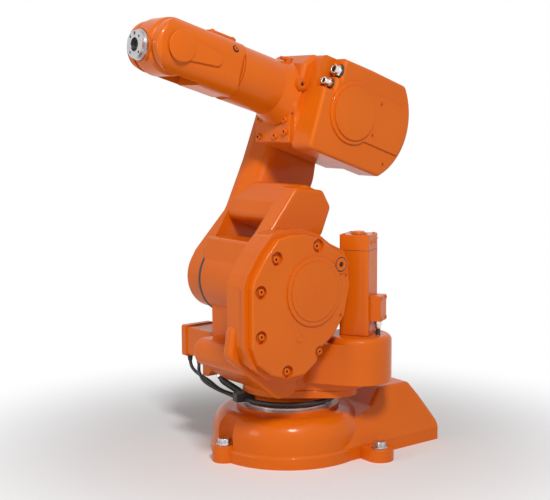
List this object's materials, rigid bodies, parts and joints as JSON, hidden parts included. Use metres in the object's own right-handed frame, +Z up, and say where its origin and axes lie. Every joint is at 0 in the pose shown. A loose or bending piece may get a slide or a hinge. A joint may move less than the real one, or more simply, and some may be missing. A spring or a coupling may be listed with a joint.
{
  "type": "six-axis industrial robot arm",
  "caption": "Compact six-axis industrial robot arm on a bolted cast foot, with a forked lower arm, gear housing at the elbow, forearm tube, forked wrist and round tool flange.",
  "frame": {"origin": "on the floor under the foot, on the upright axis 1", "axes": "+X to the front of the foot, over its single front bolt; +Y to the left; +Z up"},
  "size_m": [0.6638, 0.414, 0.8573],
  "materials": {
    "orange_paint": "semi-gloss enamel over aluminium castings",
    "black_rubber": "matt",
    "bare_steel": "turned and brushed",
    "nickel": "nickel-plated fittings"
  },
  "bodies": {
    "foot": {"foot_casting": "orange_paint", "rear_panel": "orange_paint", "power_connector": "nickel", "signal_connector": "nickel", "air_inlet": "nickel", "neck_ring": "bare_steel"},
    "frame": {"frame_casting": "orange_paint", "axis_1_motor": "orange_paint", "axis_1_motor_cap": "orange_paint", "axis_1_motor_socket": "orange_paint", "axis_2_motor": "orange_paint", "axis_2_motor_cap": "orange_paint", "axis_2_motor_socket": "orange_paint", "shoulder_housing": "orange_paint", "shoulder_cover": "orange_paint", "shoulder_cap": "orange_paint", "shoulder_plug": "orange_paint", "cable_clamp": "black_rubber", "long_motor_lead": "black_rubber", "short_motor_lead": "black_rubber", "lead_sleeve": "black_rubber", "neck_cable": "black_rubber", "cable_boot": "black_rubber", "sleeve_gland": "nickel"},
    "lower_arm": {"lower_arm_casting": "orange_paint", "far_shoulder_cap": "orange_paint", "shoulder_seal": "black_rubber"},
    "upper_arm": {"upper_arm_housing": "orange_paint", "elbow_gear_ring": "bare_steel", "upper_side_cover": "orange_paint", "upper_side_cap": "orange_paint", "air_fitting_large": "nickel", "air_fitting_small": "nickel", "elbow_plug": "orange_paint"},
    "forearm": {"forearm_fork": "orange_paint", "forearm_seal": "black_rubber", "wrist_cover_left": "orange_paint", "wrist_cover_right": "orange_paint", "forearm_hatch": "orange_paint"},
    "tilt": {"tilt_house": "orange_paint"},
    "flange": {"tool_flange": "bare_steel"}
  },
  "joints": [
    {"name": "axis_1", "type": "hinge", "parent": "foot", "child": "frame", "pos_m": [0, 0, 0], "axis": [0, 0, 1], "range_deg": [-184.5, 175.5]},
    {"name": "axis_2", "type": "hinge", "parent": "frame", "child": "lower_arm", "pos_m": [0.06978, 0.00549, 0.352], "axis": [-0.0785, 0.9969, 0], "range_deg": [-66.4, 133.6]},
    {"name": "axis_3", "type": "hinge", "parent": "lower_arm", "child": "upper_arm", "pos_m": [-0.0739, -0.00582, 0.68189], "axis": [0.0785, -0.9969, 0], "range_deg": [-45.2, 234.8]},
    {"name": "axis_4", "type": "hinge", "parent": "upper_arm", "child": "forearm", "pos_m": [0.28472, 0.02241, 0.80435], "axis": [0.9564, 0.0753, 0.2823], "range_deg": [-200, 200]},
    {"name": "axis_5", "type": "hinge", "parent": "forearm", "child": "tilt", "pos_m": [0.28472, 0.02241, 0.80435], "axis": [-0.0785, 0.9969, 0], "range_deg": [-130.9, 99.1]},
    {"name": "axis_6", "type": "hinge", "parent": "tilt", "child": "flange", "pos_m": [0.34944, 0.0275, 0.80764], "axis": [0.9956, 0.0784, 0.0506], "range_deg": [-400, 400]}
  ]
}
